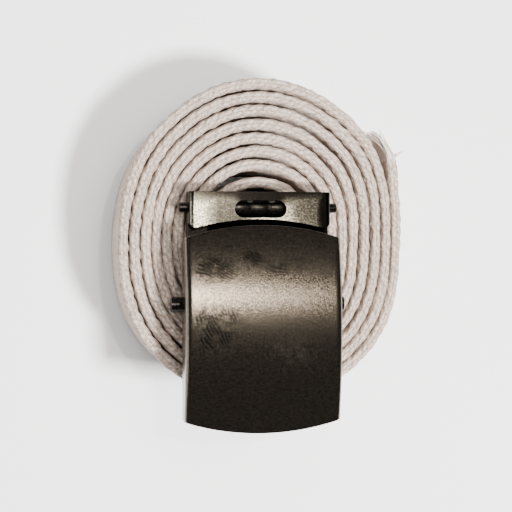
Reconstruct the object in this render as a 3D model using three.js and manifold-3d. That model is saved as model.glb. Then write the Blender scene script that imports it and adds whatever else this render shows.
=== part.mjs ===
// Canvas web belt: cotton webbing rolled up on its edge, with its plate buckle lying loose
// on top of the roll. Millimetres, +Z up. The roll stands on the plane z = 0.
import * as THREE from 'three';
import * as BufferGeometryUtils from 'three/addons/utils/BufferGeometryUtils.js';
import Module from 'manifold-3d';

const wasm = await Module();
wasm.setup();

// Fit: the clear space between two neighbouring pieces.
const fit = 0.3;

// Webbing.
const webWidth = 32;
const webThickness = 2.35;

// Roll: how far the outermost turn would reach on average, and how the turns lie.
const rollReach = 41.5;
const turnGap = 0.34;
const rollTurns = 8.2;
const endBearing = 31;
const endSpring = 1.3;
const endSpringSpan = 16;
const facetsPerTurn = 40;

// The roll's core lies a little off its middle: the turns drift there between these two turnings.
const coreShiftX = -0.8;
const coreShiftY = -0.35;
const coreShiftFrom = 700;
const coreShiftTo = 1900;

// Each row is a direction from the middle of the roll, counterclockwise from +X in degrees.
// reach is a share of rollReach, slack a multiple of turnGap between two turns.
const rollShape = [
  { bearing: 0, reach: 0.918, slack: 1.2 },
  { bearing: 45, reach: 1.029, slack: 2.4 },
  { bearing: 90, reach: 1.077, slack: 3.2 },
  { bearing: 135, reach: 0.988, slack: 2.35 },
  { bearing: 180, reach: 0.918, slack: 1.75 },
  { bearing: 225, reach: 0.998, slack: 2.95 },
  { bearing: 270, reach: 1.034, slack: 2.65 },
  { bearing: 315, reach: 1.012, slack: 1.85 },
];

// Buckle: where its middle lies from the middle of the roll.
const buckleX = -1.2;
const buckleY = -22.4;

// Face plate: an arched sheet with rounded ends and turned-down sides.
const plateWidth = 39.4;
const plateSide = 45.6;
const plateEndBulge = 3.2;
const plateRise = 3.6;
const plateSheet = 1;
const plateEndTop = 11;
const skirtBottom = 6;
const skirtGap = 0.6;

// Box: the channel under the plate that the webbing runs through.
const boxSheet = 0.9;
const boxHeight = 7.6;
const boxBend = 1.2;
const boxTail = 17;
const clampOverhang = 8.5;
const lipWidth = 4.5;

// Cut across the deck at the plate's end: it follows the plate's arc and its corners slant.
const deckCut = 1.5;
const deckCutCover = 1.5;
const cutCorner = 1.3;
const cutDepth = 3.4;

// Window in the deck over the jaw.
const windowLength = 13.2;
const windowWidth = 4.3;
const windowFromEnd = 4.4;

// Slide bar and the slots that its ends run in.
const barDiameter = 4.4;
const barRidges = 14;
const barRidgeDepth = 0.3;
const stubDiameter = 2.4;
const knobDiameter = 3.8;
const knobLength = 3.9;
const barAcross = 6;
const barTravel = 7;

// Jaw: a toothed cam on a pin.
const pinDiameter = 2.5;
const pinProud = 2.4;
const pinFromEnd = 3.9;
const jawWall = 0.6;
const jawTeeth = 7;
const bladeThickness = 0.9;
const toothDepth = 1.1;

// Places that follow from the sizes above, in the buckle's own frame.
const plateHalf = plateSide / 2 + plateEndBulge;
const plateEndRadius = ((plateWidth / 2) ** 2 + plateEndBulge ** 2) / (2 * plateEndBulge);
const boxWidth = plateWidth - 2 * plateSheet - 2 * skirtGap;
const boxInside = boxWidth - 2 * boxSheet;
const clampEnd = plateHalf + clampOverhang;
const deckUnder = boxHeight - boxSheet;
const barHeight = boxSheet + fit + barDiameter / 2;
const pinY = clampEnd - pinFromEnd;
const barrelRadius = pinDiameter / 2 + fit + jawWall;
const pinHeight = boxSheet + fit + barrelRadius;
const jawLength = boxInside - 2 * fit;
const throughCut = 2;

const colours = { cotton: 0xcdc0bb, blackened: 0x35322d, bright: 0x8d8a78 };

function material(color, roughness, metalness) {
  return new THREE.MeshStandardMaterial({ color, roughness, metalness });
}

function solidOf(geometry) {
  const bare = geometry.index ? geometry.toNonIndexed() : geometry.clone();
  bare.deleteAttribute('normal');
  bare.deleteAttribute('uv');
  const merged = BufferGeometryUtils.mergeVertices(bare, 1e-4);
  const vertProperties = new Float32Array(merged.attributes.position.array);
  const triVerts = new Uint32Array(merged.index.array);
  return new wasm.Manifold(new wasm.Mesh({ numProp: 3, vertProperties, triVerts }));
}

function geometryOf(solid) {
  const mesh = solid.getMesh();
  const geometry = new THREE.BufferGeometry();
  geometry.setAttribute('position', new THREE.BufferAttribute(new Float32Array(mesh.vertProperties), 3));
  geometry.setIndex(new THREE.BufferAttribute(new Uint32Array(mesh.triVerts), 1));
  geometry.computeVertexNormals();
  return geometry;
}

// Axes for an outline drawn in two directions and carried along the third.
const along = {
  z: new THREE.Matrix4(),
  x: new THREE.Matrix4().makeBasis(
    new THREE.Vector3(0, 1, 0), new THREE.Vector3(0, 0, 1), new THREE.Vector3(1, 0, 0)),
  y: new THREE.Matrix4().makeBasis(
    new THREE.Vector3(0, 0, 1), new THREE.Vector3(1, 0, 0), new THREE.Vector3(0, 1, 0)),
};

// An outline carried along an axis from one place to another. The outline's two directions
// are X, Y along z; Y, Z along x; and Z, X along y.
function prism(axis, outline, from, to) {
  const shape = outline instanceof THREE.Shape ? outline : new THREE.Shape(outline);
  const geometry = new THREE.ExtrudeGeometry(shape, {
    depth: to - from, bevelEnabled: false, curveSegments: 8,
  });
  geometry.translate(0, 0, from);
  geometry.applyMatrix4(along[axis]);
  return solidOf(geometry);
}

function rectangle(a0, a1, b0, b1) {
  return [
    new THREE.Vector2(a0, b0), new THREE.Vector2(a1, b0),
    new THREE.Vector2(a1, b1), new THREE.Vector2(a0, b1),
  ];
}

// A slot outline with half-round ends: long in its first direction.
function slotOutline(middle, level, length, width) {
  const radius = width / 2;
  const reach = length / 2 - radius;
  const shape = new THREE.Shape();
  shape.absarc(middle + reach, level, radius, -Math.PI / 2, Math.PI / 2, false);
  shape.absarc(middle - reach, level, radius, Math.PI / 2, 1.5 * Math.PI, false);
  return shape;
}

function circleOutline(a, b, diameter, sides) {
  return Array.from({ length: sides }, (_, i) => {
    const turn = (2 * Math.PI * (i + 0.5)) / sides;
    return new THREE.Vector2(a + (diameter / 2) * Math.cos(turn), b + (diameter / 2) * Math.sin(turn));
  });
}

// A value of the roll's table at any bearing: a smooth closed curve through its rows.
function aroundRoll(column, degrees) {
  const rows = rollShape.length;
  const place = (((degrees / 360) * rows) % rows + rows) % rows;
  const first = Math.floor(place);
  const t = place - first;
  const [a, b, c, d] = [-1, 0, 1, 2].map((step) => rollShape[(first + step + rows) % rows][column]);
  return b + 0.5 * t * (c - a + t * (2 * a - 5 * b + 4 * c - d + t * (3 * (b - c) + d - a)));
}

// The outer face's distance from the middle, so many degrees back from the outer end.
function turnRadius(back) {
  const bearing = endBearing - back;
  const pitch = webThickness + turnGap * aroundRoll('slack', bearing);
  const spring = Math.max(0, 1 - back / endSpringSpan);
  return rollReach * aroundRoll('reach', bearing) - (pitch * back) / 360 + endSpring * spring ** 2;
}

function makeWebbing() {
  const steps = Math.round(rollTurns * facetsPerTurn);
  const positions = [];
  const indices = [];
  for (let i = 0; i <= steps; i += 1) {
    const back = (360 * i) / facetsPerTurn;
    const bearing = THREE.MathUtils.degToRad(endBearing - back);
    const drift = THREE.MathUtils.smoothstep(back, coreShiftFrom, coreShiftTo);
    const outer = turnRadius(back);
    const corners = [[outer, 0], [outer, webWidth], [outer - webThickness, webWidth], [outer - webThickness, 0]];
    for (const [radius, z] of corners) {
      const x = drift * coreShiftX + radius * Math.cos(bearing);
      const y = drift * coreShiftY + radius * Math.sin(bearing);
      positions.push(x, y, z);
    }
  }
  for (let i = 0; i < steps; i += 1) {
    for (let side = 0; side < 4; side += 1) {
      const a = 4 * i + side;
      const b = 4 * i + ((side + 1) % 4);
      indices.push(a, b, a + 4, b, b + 4, a + 4);
    }
  }
  const last = 4 * steps;
  indices.push(0, 2, 1, 0, 3, 2);
  indices.push(last, last + 1, last + 2, last, last + 2, last + 3);
  const geometry = new THREE.BufferGeometry();
  geometry.setAttribute('position', new THREE.Float32BufferAttribute(positions, 3));
  geometry.setIndex(indices);
  geometry.computeVertexNormals();
  return geometry;
}

// Points of an arch over the plate's length, from -Y to +Y, at a depth under its top face.
function archPoints(depth, overrun) {
  const radius = (plateHalf ** 2 + plateRise ** 2) / (2 * plateRise);
  const centre = plateEndTop + plateRise - radius;
  const half = Math.asin(plateHalf / radius) + overrun / radius;
  const count = 24;
  return Array.from({ length: count + 1 }, (_, i) => {
    const turn = half * ((2 * i) / count - 1);
    const r = radius - depth;
    return new THREE.Vector2(r * Math.sin(turn), centre + r * Math.cos(turn));
  });
}

// The plate seen from above: straight sides and two ends that bulge by the same arc.
function plateOutline() {
  const spread = Math.asin(plateWidth / 2 / plateEndRadius);
  const centre = plateHalf - plateEndRadius;
  const shape = new THREE.Shape();
  shape.absarc(0, centre, plateEndRadius, Math.PI / 2 - spread, Math.PI / 2 + spread, false);
  shape.absarc(0, -centre, plateEndRadius, 1.5 * Math.PI - spread, 1.5 * Math.PI + spread, false);
  return shape;
}

function makeFacePlate() {
  const side = archPoints(0, 0);
  const lower = [new THREE.Vector2(plateHalf, skirtBottom), new THREE.Vector2(-plateHalf, skirtBottom)];
  const lid = prism('x', [...lower, ...side].reverse(), -plateWidth / 2, plateWidth / 2);
  const top = plateEndTop + plateRise + throughCut;
  const trimmed = lid.intersect(prism('z', plateOutline(), skirtBottom - throughCut, top));
  const inner = archPoints(plateSheet, throughCut);
  const floor = skirtBottom - throughCut;
  const open = [new THREE.Vector2(plateHalf + throughCut, floor), new THREE.Vector2(-plateHalf - throughCut, floor)];
  const innerHalf = plateWidth / 2 - plateSheet;
  const hollow = prism('x', [...open, ...inner].reverse(), -innerHalf, innerHalf);
  return geometryOf(trimmed.subtract(hollow));
}

// The channel's section, drawn in Z, X: a deck, two walls and two lips turned in below.
function channelOutline() {
  const half = boxWidth / 2;
  const inside = boxInside / 2;
  const lip = inside - lipWidth;
  const shape = new THREE.Shape();
  shape.moveTo(0, lip);
  shape.lineTo(0, half);
  shape.lineTo(boxHeight - boxBend, half);
  shape.absarc(boxHeight - boxBend, half - boxBend, boxBend, Math.PI / 2, 0, true);
  shape.lineTo(boxHeight, -half + boxBend);
  shape.absarc(boxHeight - boxBend, -half + boxBend, boxBend, 0, -Math.PI / 2, true);
  shape.lineTo(0, -half);
  shape.lineTo(0, -lip);
  shape.lineTo(boxSheet, -lip);
  shape.lineTo(boxSheet, -inside);
  shape.lineTo(deckUnder, -inside);
  shape.lineTo(deckUnder, inside);
  shape.lineTo(boxSheet, inside);
  shape.lineTo(boxSheet, lip);
  shape.closePath();
  return shape;
}

// The cut across the deck, seen from above: from under the plate to an arc beside the plate's own.
function deckCutOutline() {
  const beyond = boxWidth / 2 + throughCut;
  const cornerX = boxWidth / 2 - cutCorner;
  const centre = plateHalf - plateEndRadius + deckCut;
  const from = Math.acos(cornerX / plateEndRadius);
  const cornerY = centre + plateEndRadius * Math.sin(from);
  const sideY = cornerY + beyond - cornerX;
  const low = plateSide / 2 - deckCutCover;
  const shape = new THREE.Shape();
  shape.moveTo(-beyond, low);
  shape.lineTo(beyond, low);
  shape.lineTo(beyond, sideY);
  shape.absarc(0, centre, plateEndRadius, from, Math.PI - from, false);
  shape.lineTo(-beyond, sideY);
  shape.closePath();
  return shape;
}

function makeBoxChannel() {
  let box = prism('y', channelOutline(), -boxTail, clampEnd);
  const beyond = boxWidth / 2 + throughCut;
  const window = slotOutline(0, clampEnd - windowFromEnd, windowLength, windowWidth);
  box = box.subtract(prism('z', window, deckUnder - throughCut / 2, boxHeight + throughCut));
  const slot = slotOutline(barAcross, barHeight, barTravel + stubDiameter + 2 * fit, stubDiameter + 2 * fit);
  box = box.subtract(prism('x', slot, -beyond, beyond));
  box = box.subtract(prism('x', circleOutline(pinY, pinHeight, pinDiameter + 2 * fit, 16), -beyond, beyond));
  box = box.subtract(prism('z', deckCutOutline(), boxHeight - cutDepth, boxHeight + throughCut));
  return geometryOf(box);
}

function makeSlideBar() {
  const ridges = Array.from({ length: 2 * barRidges }, (_, i) => {
    const turn = (Math.PI * i) / barRidges;
    const radius = barDiameter / 2 - (i % 2) * barRidgeDepth;
    return new THREE.Vector2(barAcross + radius * Math.cos(turn), barHeight + radius * Math.sin(turn));
  });
  const half = boxInside / 2 - fit;
  const knobStart = boxWidth / 2 + fit;
  const knobEnd = knobStart + knobLength;
  let bar = prism('x', ridges, -half, half);
  bar = bar.add(prism('x', circleOutline(barAcross, barHeight, stubDiameter, 12), -knobEnd, knobEnd));
  for (const sign of [-1, 1]) {
    const ends = [sign * knobStart, sign * knobEnd].sort((a, b) => a - b);
    bar = bar.add(prism('x', circleOutline(barAcross, barHeight, knobDiameter, 16), ends[0], ends[1]));
  }
  return geometryOf(bar);
}

function makeJawPin() {
  const half = boxWidth / 2 + pinProud;
  return geometryOf(prism('x', circleOutline(pinY, pinHeight, pinDiameter, 16), -half, half));
}

// The jaw: a barrel on the pin with an upright blade whose top edge is cut into teeth.
function makeClampJaw() {
  const half = jawLength / 2;
  const bladeTop = deckUnder - fit;
  const barrel = prism('x', circleOutline(pinY, pinHeight, 2 * barrelRadius, 20), -half, half);
  const front = pinY + barrelRadius;
  const blade = prism('x', rectangle(front - bladeThickness, front, pinHeight, bladeTop), -half, half);
  let jaw = barrel.add(blade);
  const pitch = jawLength / jawTeeth;
  const valley = bladeTop - toothDepth;
  const slope = pitch / 2 / toothDepth;
  const mouth = slope * (toothDepth + throughCut);
  for (let i = 0; i <= jawTeeth; i += 1) {
    const middle = -half + i * pitch;
    const gap = [
      new THREE.Vector2(bladeTop + throughCut, middle + mouth),
      new THREE.Vector2(bladeTop + throughCut, middle - mouth),
      new THREE.Vector2(valley, middle),
    ];
    jaw = jaw.subtract(prism('y', gap, front - bladeThickness - throughCut, front + throughCut));
  }
  const bore = circleOutline(pinY, pinHeight, pinDiameter + 2 * fit, 16);
  jaw = jaw.subtract(prism('x', bore, -half - throughCut, half + throughCut));
  return geometryOf(jaw);
}

function named(name, geometry, finish) {
  const mesh = new THREE.Mesh(geometry, finish);
  mesh.name = name;
  return mesh;
}

const cotton = material(colours.cotton, 0.95, 0);
const blackened = material(colours.blackened, 0.35, 0.9);
const bright = material(colours.bright, 0.35, 0.9);

const buckle = new THREE.Group();
buckle.add(
  named('face_plate', makeFacePlate(), blackened),
  named('box_channel', makeBoxChannel(), bright),
  named('slide_bar', makeSlideBar(), blackened),
  named('jaw_pin', makeJawPin(), blackened),
  named('clamp_jaw', makeClampJaw(), blackened),
);
buckle.position.set(buckleX, buckleY, webWidth + fit);

const belt = new THREE.Group();
belt.add(named('webbing', makeWebbing(), cotton), buckle);

// The origin lies on the ground under the middle of the whole object's box.
const extent = new THREE.Box3().setFromObject(belt, true);
const middle = extent.getCenter(new THREE.Vector3());
belt.position.set(-middle.x, -middle.y, -extent.min.z);

const group = new THREE.Group();
group.add(belt);

export default group;
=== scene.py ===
# %% [markdown]
# A rolled-up canvas belt with its buckle lying on top.
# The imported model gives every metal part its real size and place. This lesson dresses it: the webbing
# gets its coarse weave and frayed end, and the buckle gets rounded sheet edges and a satin blackened
# finish with handling marks. Everything is in metres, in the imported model's own frame.

# %% Load the frame
import math

import bpy
import numpy as np
from mathutils import Matrix, Vector


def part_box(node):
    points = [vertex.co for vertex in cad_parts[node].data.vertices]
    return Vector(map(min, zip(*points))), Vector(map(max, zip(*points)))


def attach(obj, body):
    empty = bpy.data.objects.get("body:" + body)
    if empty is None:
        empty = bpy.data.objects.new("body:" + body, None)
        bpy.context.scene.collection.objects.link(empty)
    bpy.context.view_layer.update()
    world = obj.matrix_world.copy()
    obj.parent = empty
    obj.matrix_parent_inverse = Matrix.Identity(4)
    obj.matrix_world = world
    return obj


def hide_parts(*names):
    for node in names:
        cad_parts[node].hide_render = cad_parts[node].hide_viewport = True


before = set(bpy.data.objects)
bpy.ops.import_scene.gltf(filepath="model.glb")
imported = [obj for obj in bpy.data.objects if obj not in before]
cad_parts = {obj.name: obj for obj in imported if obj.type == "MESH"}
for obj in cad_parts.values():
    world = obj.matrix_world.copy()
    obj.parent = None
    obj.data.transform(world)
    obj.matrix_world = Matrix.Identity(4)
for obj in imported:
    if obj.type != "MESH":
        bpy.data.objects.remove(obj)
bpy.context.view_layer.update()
MM = 0.001
print("nodes:", sorted(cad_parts))

# %% [markdown]
# Two middles place everything else: the plate's, which is the middle of its box, and the roll's, which is
# the point that the spiral is wound round. The buckle lies loose on the roll, so the second is a step away
# from the first.

# %% Where the roll and the buckle lie
BUCKLE_ON_ROLL = np.array([-1.2, -22.4]) * MM
WEB_WIDTH = np.array(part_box("webbing")[1])[2]
plate_low, plate_high = (np.array(corner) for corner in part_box("face_plate"))
box_low, box_high = (np.array(corner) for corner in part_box("box_channel"))
plate_middle = (plate_low + plate_high) / 2
roll_middle = plate_middle[:2] - BUCKLE_ON_ROLL
print("roll middle", roll_middle.round(4), "plate middle", plate_middle.round(4))

# %% [markdown]
# The photograph looks almost straight down, from a little to the left of the roll, at arm's length. A
# camera can be placed by eye, but here it is worked out from three facts that can be checked: how many
# millimetres a pixel covers on top of the roll, the lean to the left, and the pixel where the roll's middle
# appears.

# %% The camera
IMAGE_PIXELS = 512
IMAGE_MIDDLE = 256
ROLL_MIDDLE_PIXEL = (260, 240)
MM_PER_PIXEL = 0.2585
CAMERA_LEAN = math.radians(10)
CAMERA_DISTANCE = 0.315
SENSOR_MM = 36

view_back = Vector((-math.sin(CAMERA_LEAN), 0, math.cos(CAMERA_LEAN)))
view_right = Vector((math.cos(CAMERA_LEAN), 0, math.sin(CAMERA_LEAN)))
view_up = Vector((0, 1, 0))
pixel = MM_PER_PIXEL * MM
target = (
    Vector((*roll_middle, WEB_WIDTH))
    + view_right * (IMAGE_MIDDLE - ROLL_MIDDLE_PIXEL[0]) * pixel
    + view_up * (ROLL_MIDDLE_PIXEL[1] - IMAGE_MIDDLE) * pixel
)
camera_data = bpy.data.cameras.new("camera")
camera_data.sensor_width = SENSOR_MM
camera_data.lens = SENSOR_MM * CAMERA_DISTANCE / (IMAGE_PIXELS * pixel)
camera = bpy.data.objects.new("camera", camera_data)
bpy.context.scene.collection.objects.link(camera)
camera_axes = Matrix((view_right, view_up, view_back)).transposed()
camera.matrix_world = Matrix.Translation(target + view_back * CAMERA_DISTANCE) @ camera_axes.to_4x4()
bpy.context.scene.camera = camera
print(f"lens {camera_data.lens:.1f} mm")

# %% [markdown]
# The floor is one plain pale square. Inside the roll's hollow it is nearly black: so little light reaches
# the bottom of a deep and narrow well that the eye sees none, while soft studio light would fill it with
# grey. A distance from the roll's middle picks between the two, with no picture and no second floor.

# %% The floor
FLOOR_HALF = 1.5
FLOOR_ROUGHNESS = 0.9
FLOOR_SPECULAR = 0.1
FLOOR_BRIGHTNESS = 0.97
HOLLOW_BRIGHTNESS = 0.03
HOLLOW_RADIUS = 16 * MM
HOLLOW_RIM = 1 * MM


def new_material(name):
    """A material with an empty node tree but for its shader and output."""
    material = bpy.data.materials.new(name)
    material.use_nodes = True
    tree = material.node_tree
    tree.nodes.clear()
    output = tree.nodes.new("ShaderNodeOutputMaterial")
    shader = tree.nodes.new("ShaderNodeBsdfPrincipled")
    tree.links.new(shader.outputs["BSDF"], output.inputs["Surface"])
    return material, tree, shader


def floor_finish():
    """Pale and matte, but dark within the hollow's radius of the roll's middle."""
    material, tree, shader = new_material("floor_white")
    shader.inputs["Roughness"].default_value = FLOOR_ROUGHNESS
    shader.inputs["Specular IOR Level"].default_value = FLOOR_SPECULAR
    where = tree.nodes.new("ShaderNodeTexCoord")
    away = tree.nodes.new("ShaderNodeVectorMath")
    away.operation = "DISTANCE"
    away.inputs[1].default_value = (*roll_middle, 0)
    pick = tree.nodes.new("ShaderNodeMapRange")
    pick.inputs["From Min"].default_value = HOLLOW_RADIUS
    pick.inputs["From Max"].default_value = HOLLOW_RADIUS + HOLLOW_RIM
    pick.inputs["To Min"].default_value = HOLLOW_BRIGHTNESS
    pick.inputs["To Max"].default_value = FLOOR_BRIGHTNESS
    tree.links.new(where.outputs["Object"], away.inputs[0])
    tree.links.new(away.outputs["Value"], pick.inputs["Value"])
    tree.links.new(pick.outputs["Result"], shader.inputs["Base Color"])
    return material


floor_corners = np.array([(-1, -1, 0), (1, -1, 0), (1, 1, 0), (-1, 1, 0)]) * FLOOR_HALF
floor_mesh = bpy.data.meshes.new("floor")
floor_mesh.from_pydata(floor_corners.tolist(), [], [(0, 1, 2, 3)])
floor_mesh.materials.append(floor_finish())
floor = bpy.data.objects.new("floor", floor_mesh)
bpy.context.scene.collection.objects.link(floor)
print("floor", 2 * FLOOR_HALF, "m wide")

# %% [markdown]
# Dark metal shows its lamps more than its own colour, so the lamps are in two sets. The key, from the lower
# right, and the broad fill light the cotton and throw the buckle's short shadow up and to the left; the
# metal doesn't mirror them. The others are what the metal mirrors: a narrow strip makes the plate's bright
# band, a spot makes the band hotter at its left end, and the rim and side lamps draw the edges. A weak sky
# fills what is left.

# %% The lamps
WHITE = (1.0, 1.0, 1.0)
WARM = (1.0, 0.93, 0.85)
WARM_WHITE = (1.0, 0.95, 0.86)
SKY_STRENGTH = 0.23
# Name, direction from the roll, distance, width and height, watts, colour, and whether metal mirrors it
LAMPS = [
    ("key", (0.42, -0.32, 1.0), 0.9, (0.12, 0.12), 25.0, WHITE, False),
    ("fill", (0.1, 0.2, 1.0), 1.2, (1.0, 1.0), 12.5, WHITE, False),
    ("strip", (0.13, 0.109, 1.0), 0.55, (0.105, 0.038), 0.47, WARM, True),
    ("spot", (0.045, 0.12, 1.0), 0.55, (0.012, 0.01), 0.72, WARM_WHITE, True),
    ("rim", (-0.5, 1.0, 0.5), 0.8, (0.3, 0.3), 1.0, WHITE, True),
    ("side", (-1.0, -0.1, 0.22), 0.7, (0.3, 0.3), 1.2, WHITE, True),
]


def area_lamp(name, direction, distance, size, watts, colour, mirrored):
    """A rectangular lamp that stands off the roll in a direction and faces it, wide along X."""
    data = bpy.data.lights.new(name, "AREA")
    data.shape = "RECTANGLE"
    data.size, data.size_y = size
    data.energy = watts
    data.color = colour
    lamp = bpy.data.objects.new(name, data)
    bpy.context.scene.collection.objects.link(lamp)
    away = Vector(direction).normalized()
    wide = Vector((0, 1, 0)).cross(away).normalized()
    facing = Matrix((wide, away.cross(wide), away)).transposed()
    place = Vector((*roll_middle, WEB_WIDTH)) + away * distance
    lamp.matrix_world = Matrix.Translation(place) @ facing.to_4x4()
    lamp.visible_glossy = mirrored


for lamp_row in LAMPS:
    area_lamp(*lamp_row)
sky = bpy.data.worlds.new("sky")
bpy.context.scene.world = sky
sky.use_nodes = True
sky.node_tree.nodes["Background"].inputs["Color"].default_value = (*WHITE, 1)
sky.node_tree.nodes["Background"].inputs["Strength"].default_value = SKY_STRENGTH

# %% [markdown]
# The webbing is one strip, 32 mm wide, standing on its edge and wound in a slightly squashed spiral. A
# curve drawn by hand would let its turns cross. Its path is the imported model's: a table of directions
# gives how far the roll reaches and how loose its turns lie, and each full turn inwards takes off one
# thickness and one gap. The path is worked out as one array and then stepped at even lengths, so that the
# weave keeps its size all the way. Angles are in degrees, counted back from the outer end.

# %% The roll's path
WEB_THICKNESS = 2.35 * MM
ROLL_REACH = 41.5 * MM
TURN_GAP = 0.34 * MM
ROLL_TURNS = 8.2
END_BEARING = 31
END_SPRING = 1.3 * MM
END_SPRING_SPAN = 16
ROLL_SHAPE = {
    "reach": [0.918, 1.029, 1.077, 0.988, 0.918, 0.998, 1.034, 1.012],
    "slack": [1.2, 2.4, 3.2, 2.35, 1.75, 2.95, 2.65, 1.85],
}
CORE_SHIFT = np.array([-0.8, -0.35]) * MM
CORE_SHIFT_FROM = 700
CORE_SHIFT_TO = 1900
CORE_SAG = 1.2 * MM
CORE_SAG_FROM = 2640
CORE_SAG_SPAN = 120
FINE_STEPS = 30000
WEAVE_STEP = 0.38 * MM


def around_roll(column, degrees):
    """A table column at any bearing: a cubic through its eight rows that closes on itself."""
    rows = np.array(ROLL_SHAPE[column])
    place = np.mod(degrees / 360 * len(rows), len(rows))
    first = np.floor(place).astype(int) % len(rows)
    t = place - np.floor(place)
    a, b, c, d = (rows[(first + step) % len(rows)] for step in (-1, 0, 1, 2))
    return b + 0.5 * t * (c - a + t * (2 * a - 5 * b + 4 * c - d + t * (3 * (b - c) + d - a)))


def roll_path(back):
    """The strip's middle line, so many degrees back from its outer end.

    Its distance from the roll's middle is the reach at that bearing, less one pitch for each full turn
    back, less half the thickness, plus the spring of the loose end. The innermost turn sags, and the
    core drifts aside."""
    bearing = END_BEARING - back
    pitch = WEB_THICKNESS + TURN_GAP * around_roll("slack", bearing)
    spring = np.clip(1 - back / END_SPRING_SPAN, 0, 1) ** 2 * END_SPRING
    radius = ROLL_REACH * around_roll("reach", bearing) - pitch * back / 360 + spring - WEB_THICKNESS / 2
    angle = np.radians(bearing)
    sagging = np.clip((back - CORE_SAG_FROM) / CORE_SAG_SPAN, 0, 1)
    radius -= CORE_SAG * sagging * np.clip(np.sin(angle), 0, 1)
    share = np.clip((back - CORE_SHIFT_FROM) / (CORE_SHIFT_TO - CORE_SHIFT_FROM), 0, 1)
    drift = share**2 * (3 - 2 * share)
    round_middle = np.stack([radius * np.cos(angle), radius * np.sin(angle)], axis=-1)
    return round_middle + drift[:, None] * CORE_SHIFT


fine_back = np.linspace(0, 360 * ROLL_TURNS, FINE_STEPS + 1)
fine = roll_path(fine_back)
run = np.concatenate([[0], np.cumsum(np.linalg.norm(np.diff(fine, axis=0), axis=1))])
web_length = run[-1]
stations = np.linspace(0, web_length, int(web_length / WEAVE_STEP) + 1)
path = np.stack([np.interp(stations, run, fine[:, axis]) for axis in (0, 1)], axis=1) + roll_middle
back_here = np.interp(stations, run, fine_back)
gap_here = TURN_GAP * around_roll("slack", END_BEARING - back_here)
heading = np.gradient(path, axis=0)
heading /= np.linalg.norm(heading, axis=1, keepdims=True)
outward = np.stack([-heading[:, 1], heading[:, 0]], axis=1)
print(f"webbing {web_length:.3f} m long, {len(stations)} stations")

# %% [markdown]
# Round the strip runs a section: a rounded top edge, the outer face, a rounded bottom edge and the inner
# face. A plain rectangle would show hard corners where the camera looks, straight at the top edge. So the
# edges get close columns, and the faces, which nothing bends, get few.

# %% The strip's section
EDGE_ROUND = 1.15 * MM
EDGE_FULLNESS = 0.7
EDGE_COLUMNS = 12
FOOT_COLUMNS = 5
FACE_LEVELS = np.array([0.94, 0.86, 0.6, 0.2])
RELIEF_FROM = 0.84
RELIEF_FADE = 0.08

half = WEB_THICKNESS / 2
edge_turn = np.linspace(np.pi, 0, EDGE_COLUMNS)
edge_up = EDGE_ROUND * (np.sin(edge_turn) ** EDGE_FULLNESS - 1)
edge_points = np.stack([half * np.cos(edge_turn), WEB_WIDTH + edge_up], axis=1)
face_heights = WEB_WIDTH * FACE_LEVELS
outer_points = np.stack([np.full(len(FACE_LEVELS), half), face_heights], axis=1)
foot_turn = np.linspace(0, np.pi, FOOT_COLUMNS)
foot_points = np.stack([half * np.cos(foot_turn), EDGE_ROUND * (1 - np.sin(foot_turn))], axis=1)
inner_points = np.stack([np.full(len(FACE_LEVELS), -half), face_heights[::-1]], axis=1)
section = np.concatenate([edge_points, outer_points, foot_points, inner_points])
ring = np.concatenate([section, section[:1]])
girth = np.concatenate([[0], np.cumsum(np.linalg.norm(np.diff(ring, axis=0), axis=1))])
edge_middle = (girth[0] + girth[EDGE_COLUMNS - 1]) / 2
foot_start = EDGE_COLUMNS + len(FACE_LEVELS)
foot = slice(foot_start, foot_start + FOOT_COLUMNS)
normal = np.stack([section[:, 0] / half, np.zeros(len(section))], axis=1)
normal[:EDGE_COLUMNS, 1] = np.sin(edge_turn)
normal[foot, 1] = -np.sin(foot_turn)
normal /= np.linalg.norm(normal, axis=1, keepdims=True)
near_top = np.clip((section[:, 1] / WEB_WIDTH - RELIEF_FROM) / RELIEF_FADE, 0, 1)
print(len(section), "columns,", 2 * len(section) * len(stations), "triangles")

# %% [markdown]
# The weave is coarse: fat yarn floats about 4 mm long lie in rows, like bricks in a wall. On the edges each
# float is real relief, so that the outline of every turn is scalloped; on the faces, which are seen from
# the side alone, the material does it. A product of two half waves gives all the floats at once. Wandering
# lines add what no weaver's loom keeps even: loose spots, sags and lumps.

# %% Relief of the weave
FLOAT_LENGTH = 3.9 * MM
ROW_PITCH = 1.45 * MM
FLOAT_SLANT = 0.3
ROW_FULLNESS = 0.5
FLOAT_FULLNESS = 0.6
FLOAT_RELIEF = 0.42 * MM
CROWN_LEVEL = 0.62
LUMP_SIZE = 0.2 * MM
LUMP_KNOTS = 620
LUMP_ROWS = 5
SWELL = 0.55
SWELL_WANDER = 0.3
SWELL_KNOTS = 70
MOST_SWELL_SHARE = 0.85
MOST_SWELL = 0.42 * MM
SAG = 0.28 * MM
SAG_KNOTS = 110
RIPPLE_SHARE = 0.3
RIPPLE_KNOTS = 420
TOP_LIMIT = 0.14 * MM
SEED = 7
rng = np.random.default_rng(SEED)


def wandering(knots):
    """A line along the strip, between -1 and 1: random knots joined by a cosine ease."""
    values = rng.uniform(-1, 1, knots + 1)
    place = np.linspace(0, knots, len(stations), endpoint=False)
    first = place.astype(int)
    ease = (1 - np.cos(np.pi * (place - first))) / 2
    return values[first] * (1 - ease) + values[first + 1] * ease


def float_height(along_run, across):
    """Height of the yarn floats from 0 in a crevice to 1 on a crown.

    Each row is half a wave across its pitch, and half a wave along each float, and a power below one
    makes crowns broad and crevices narrow. Odd rows are shifted by half a float, and all floats slant."""
    row = across / ROW_PITCH + 0.5
    nearest = np.round(row)
    over = np.abs(np.cos(np.pi * (row - nearest))) ** ROW_FULLNESS
    place = along_run / FLOAT_LENGTH + 0.5 * np.mod(nearest, 2) + FLOAT_SLANT * (row - nearest)
    return over * np.abs(np.sin(np.pi * place)) ** FLOAT_FULLNESS


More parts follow.
